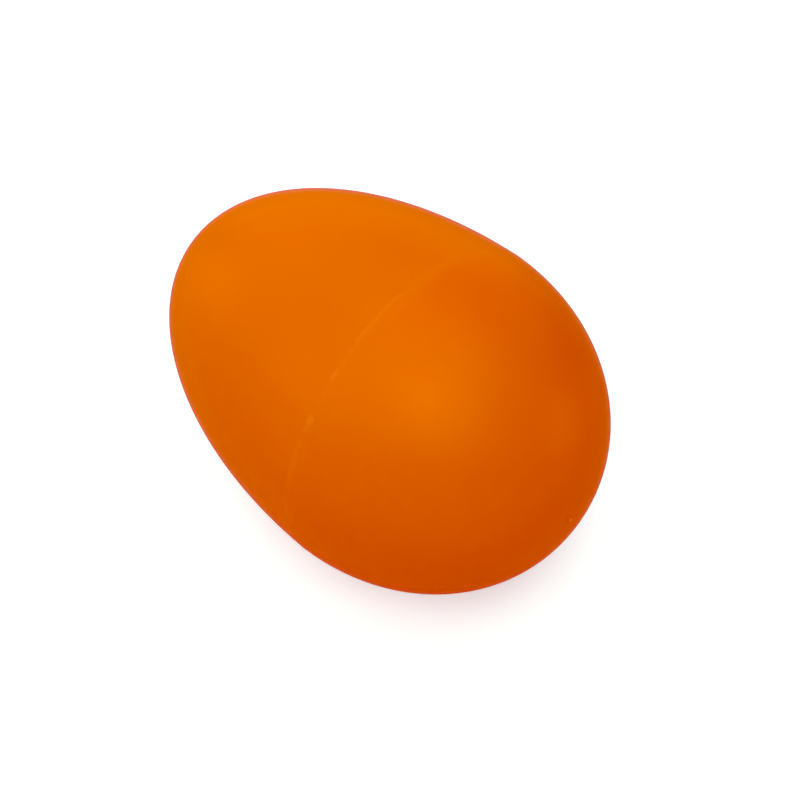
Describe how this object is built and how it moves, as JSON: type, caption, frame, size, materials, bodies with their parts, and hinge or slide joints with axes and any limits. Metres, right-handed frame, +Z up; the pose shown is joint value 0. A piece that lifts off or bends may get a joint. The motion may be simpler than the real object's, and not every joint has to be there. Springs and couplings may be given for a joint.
{
  "type": "egg shaker",
  "caption": "Hand percussion egg: two moulded plastic half shells welded at a lap joint, part filled with loose steel shot.",
  "frame": {"origin": "on the egg's long axis, midway between its two poles", "axes": "+X along the long axis towards the blunt end, +Z up with the egg lying on its side"},
  "size_m": [0.0604, 0.0422, 0.0422],
  "materials": {
    "shell_plastic": "satin",
    "weld_plastic": "satin",
    "shot_steel": "polished"
  },
  "bodies": {
    "shell": {"blunt_shell": "shell_plastic", "pointed_shell": "shell_plastic", "seam_weld": "weld_plastic"},
    "steel_shot_01": {"steel_shot_01": "shot_steel"},
    "steel_shot_02": {"steel_shot_02": "shot_steel"},
    "steel_shot_03": {"steel_shot_03": "shot_steel"},
    "steel_shot_04": {"steel_shot_04": "shot_steel"},
    "steel_shot_05": {"steel_shot_05": "shot_steel"},
    "steel_shot_06": {"steel_shot_06": "shot_steel"},
    "steel_shot_07": {"steel_shot_07": "shot_steel"},
    "steel_shot_08": {"steel_shot_08": "shot_steel"},
    "steel_shot_09": {"steel_shot_09": "shot_steel"},
    "steel_shot_10": {"steel_shot_10": "shot_steel"},
    "steel_shot_11": {"steel_shot_11": "shot_steel"},
    "steel_shot_12": {"steel_shot_12": "shot_steel"},
    "steel_shot_13": {"steel_shot_13": "shot_steel"},
    "steel_shot_14": {"steel_shot_14": "shot_steel"},
    "steel_shot_15": {"steel_shot_15": "shot_steel"},
    "steel_shot_16": {"steel_shot_16": "shot_steel"},
    "steel_shot_17": {"steel_shot_17": "shot_steel"},
    "steel_shot_18": {"steel_shot_18": "shot_steel"},
    "steel_shot_19": {"steel_shot_19": "shot_steel"},
    "steel_shot_20": {"steel_shot_20": "shot_steel"},
    "steel_shot_21": {"steel_shot_21": "shot_steel"},
    "steel_shot_22": {"steel_shot_22": "shot_steel"},
    "steel_shot_23": {"steel_shot_23": "shot_steel"},
    "steel_shot_24": {"steel_shot_24": "shot_steel"},
    "steel_shot_25": {"steel_shot_25": "shot_steel"},
    "steel_shot_26": {"steel_shot_26": "shot_steel"},
    "steel_shot_27": {"steel_shot_27": "shot_steel"},
    "steel_shot_28": {"steel_shot_28": "shot_steel"},
    "steel_shot_29": {"steel_shot_29": "shot_steel"},
    "steel_shot_30": {"steel_shot_30": "shot_steel"},
    "steel_shot_31": {"steel_shot_31": "shot_steel"},
    "steel_shot_32": {"steel_shot_32": "shot_steel"},
    "steel_shot_33": {"steel_shot_33": "shot_steel"},
    "steel_shot_34": {"steel_shot_34": "shot_steel"},
    "steel_shot_35": {"steel_shot_35": "shot_steel"},
    "steel_shot_36": {"steel_shot_36": "shot_steel"},
    "steel_shot_37": {"steel_shot_37": "shot_steel"},
    "steel_shot_38": {"steel_shot_38": "shot_steel"},
    "steel_shot_39": {"steel_shot_39": "shot_steel"},
    "steel_shot_40": {"steel_shot_40": "shot_steel"},
    "steel_shot_41": {"steel_shot_41": "shot_steel"},
    "steel_shot_42": {"steel_shot_42": "shot_steel"},
    "steel_shot_43": {"steel_shot_43": "shot_steel"},
    "steel_shot_44": {"steel_shot_44": "shot_steel"},
    "steel_shot_45": {"steel_shot_45": "shot_steel"},
    "steel_shot_46": {"steel_shot_46": "shot_steel"},
    "steel_shot_47": {"steel_shot_47": "shot_steel"},
    "steel_shot_48": {"steel_shot_48": "shot_steel"},
    "steel_shot_49": {"steel_shot_49": "shot_steel"},
    "steel_shot_50": {"steel_shot_50": "shot_steel"},
    "steel_shot_51": {"steel_shot_51": "shot_steel"}
  },
  "joints": [
    {"name": "shot_throw_01", "type": "slide", "parent": "shell", "child": "steel_shot_01", "axis": [0, 0, 1], "range_m": [0, 0.02412]},
    {"name": "shot_throw_02", "type": "slide", "parent": "shell", "child": "steel_shot_02", "axis": [0, 0, 1], "range_m": [0, 0.02554]},
    {"name": "shot_throw_03", "type": "slide", "parent": "shell", "child": "steel_shot_03", "axis": [0, 0, 1], "range_m": [0, 0.02621]},
    {"name": "shot_throw_04", "type": "slide", "parent": "shell", "child": "steel_shot_04", "axis": [0, 0, 1], "range_m": [0, 0.02583]},
    {"name": "shot_throw_05", "type": "slide", "parent": "shell", "child": "steel_shot_05", "axis": [0, 0, 1], "range_m": [0, 0.02343]},
    {"name": "shot_throw_06", "type": "slide", "parent": "shell", "child": "steel_shot_06", "axis": [0, 0, 1], "range_m": [0, 0.02573]},
    {"name": "shot_throw_07", "type": "slide", "parent": "shell", "child": "steel_shot_07", "axis": [0, 0, 1], "range_m": [0, 0.02806]},
    {"name": "shot_throw_08", "type": "slide", "parent": "shell", "child": "steel_shot_08", "axis": [0, 0, 1], "range_m": [0, 0.0296]},
    {"name": "shot_throw_09", "type": "slide", "parent": "shell", "child": "steel_shot_09", "axis": [0, 0, 1], "range_m": [0, 0.03047]},
    {"name": "shot_throw_10", "type": "slide", "parent": "shell", "child": "steel_shot_10", "axis": [0, 0, 1], "range_m": [0, 0.03075]},
    {"name": "shot_throw_11", "type": "slide", "parent": "shell", "child": "steel_shot_11", "axis": [0, 0, 1], "range_m": [0, 0.02957]},
    {"name": "shot_throw_12", "type": "slide", "parent": "shell", "child": "steel_shot_12", "axis": [0, 0, 1], "range_m": [0, 0.02661]},
    {"name": "shot_throw_13", "type": "slide", "parent": "shell", "child": "steel_shot_13", "axis": [0, 0, 1], "range_m": [0, 0.02362]},
    {"name": "shot_throw_14", "type": "slide", "parent": "shell", "child": "steel_shot_14", "axis": [0, 0, 1], "range_m": [0, 0.02717]},
    {"name": "shot_throw_15", "type": "slide", "parent": "shell", "child": "steel_shot_15", "axis": [0, 0, 1], "range_m": [0, 0.0297]},
    {"name": "shot_throw_16", "type": "slide", "parent": "shell", "child": "steel_shot_16", "axis": [0, 0, 1], "range_m": [0, 0.03145]},
    {"name": "shot_throw_17", "type": "slide", "parent": "shell", "child": "steel_shot_17", "axis": [0, 0, 1], "range_m": [0, 0.03255]},
    {"name": "shot_throw_18", "type": "slide", "parent": "shell", "child": "steel_shot_18", "axis": [0, 0, 1], "range_m": [0, 0.03308]},
    {"name": "shot_throw_19", "type": "slide", "parent": "shell", "child": "steel_shot_19", "axis": [0, 0, 1], "range_m": [0, 0.03278]},
    {"name": "shot_throw_20", "type": "slide", "parent": "shell", "child": "steel_shot_20", "axis": [0, 0, 1], "range_m": [0, 0.03092]},
    {"name": "shot_throw_21", "type": "slide", "parent": "shell", "child": "steel_shot_21", "axis": [0, 0, 1], "range_m": [0, 0.02721]},
    {"name": "shot_throw_22", "type": "slide", "parent": "shell", "child": "steel_shot_22", "axis": [0, 0, 1], "range_m": [0, 0.02652]},
    {"name": "shot_throw_23", "type": "slide", "parent": "shell", "child": "steel_shot_23", "axis": [0, 0, 1], "range_m": [0, 0.02942]},
    {"name": "shot_throw_24", "type": "slide", "parent": "shell", "child": "steel_shot_24", "axis": [0, 0, 1], "range_m": [0, 0.03148]},
    {"name": "shot_throw_25", "type": "slide", "parent": "shell", "child": "steel_shot_25", "axis": [0, 0, 1], "range_m": [0, 0.03286]},
    {"name": "shot_throw_26", "type": "slide", "parent": "shell", "child": "steel_shot_26", "axis": [0, 0, 1], "range_m": [0, 0.03365]},
    {"name": "shot_throw_27", "type": "slide", "parent": "shell", "child": "steel_shot_27", "axis": [0, 0, 1], "range_m": [0, 0.0339]},
    {"name": "shot_throw_28", "type": "slide", "parent": "shell", "child": "steel_shot_28", "axis": [0, 0, 1], "range_m": [0, 0.03284]},
    {"name": "shot_throw_29", "type": "slide", "parent": "shell", "child": "steel_shot_29", "axis": [0, 0, 1], "range_m": [0, 0.03019]},
    {"name": "shot_throw_30", "type": "slide", "parent": "shell", "child": "steel_shot_30", "axis": [0, 0, 1], "range_m": [0, 0.0254]},
    {"name": "shot_throw_31", "type": "slide", "parent": "shell", "child": "steel_shot_31", "axis": [0, 0, 1], "range_m": [0, 0.02362]},
    {"name": "shot_throw_32", "type": "slide", "parent": "shell", "child": "steel_shot_32", "axis": [0, 0, 1], "range_m": [0, 0.02717]},
    {"name": "shot_throw_33", "type": "slide", "parent": "shell", "child": "steel_shot_33", "axis": [0, 0, 1], "range_m": [0, 0.0297]},
    {"name": "shot_throw_34", "type": "slide", "parent": "shell", "child": "steel_shot_34", "axis": [0, 0, 1], "range_m": [0, 0.03145]},
    {"name": "shot_throw_35", "type": "slide", "parent": "shell", "child": "steel_shot_35", "axis": [0, 0, 1], "range_m": [0, 0.03255]},
    {"name": "shot_throw_36", "type": "slide", "parent": "shell", "child": "steel_shot_36", "axis": [0, 0, 1], "range_m": [0, 0.03308]},
    {"name": "shot_throw_37", "type": "slide", "parent": "shell", "child": "steel_shot_37", "axis": [0, 0, 1], "range_m": [0, 0.03278]},
    {"name": "shot_throw_38", "type": "slide", "parent": "shell", "child": "steel_shot_38", "axis": [0, 0, 1], "range_m": [0, 0.03092]},
    {"name": "shot_throw_39", "type": "slide", "parent": "shell", "child": "steel_shot_39", "axis": [0, 0, 1], "range_m": [0, 0.02721]},
    {"name": "shot_throw_40", "type": "slide", "parent": "shell", "child": "steel_shot_40", "axis": [0, 0, 1], "range_m": [0, 0.02573]},
    {"name": "shot_throw_41", "type": "slide", "parent": "shell", "child": "steel_shot_41", "axis": [0, 0, 1], "range_m": [0, 0.02806]},
    {"name": "shot_throw_42", "type": "slide", "parent": "shell", "child": "steel_shot_42", "axis": [0, 0, 1], "range_m": [0, 0.0296]},
    {"name": "shot_throw_43", "type": "slide", "parent": "shell", "child": "steel_shot_43", "axis": [0, 0, 1], "range_m": [0, 0.03047]},
    {"name": "shot_throw_44", "type": "slide", "parent": "shell", "child": "steel_shot_44", "axis": [0, 0, 1], "range_m": [0, 0.03075]},
    {"name": "shot_throw_45", "type": "slide", "parent": "shell", "child": "steel_shot_45", "axis": [0, 0, 1], "range_m": [0, 0.02957]},
    {"name": "shot_throw_46", "type": "slide", "parent": "shell", "child": "steel_shot_46", "axis": [0, 0, 1], "range_m": [0, 0.02661]},
    {"name": "shot_throw_47", "type": "slide", "parent": "shell", "child": "steel_shot_47", "axis": [0, 0, 1], "range_m": [0, 0.02412]},
    {"name": "shot_throw_48", "type": "slide", "parent": "shell", "child": "steel_shot_48", "axis": [0, 0, 1], "range_m": [0, 0.02554]},
    {"name": "shot_throw_49", "type": "slide", "parent": "shell", "child": "steel_shot_49", "axis": [0, 0, 1], "range_m": [0, 0.02621]},
    {"name": "shot_throw_50", "type": "slide", "parent": "shell", "child": "steel_shot_50", "axis": [0, 0, 1], "range_m": [0, 0.02583]},
    {"name": "shot_throw_51", "type": "slide", "parent": "shell", "child": "steel_shot_51", "axis": [0, 0, 1], "range_m": [0, 0.02343]}
  ]
}
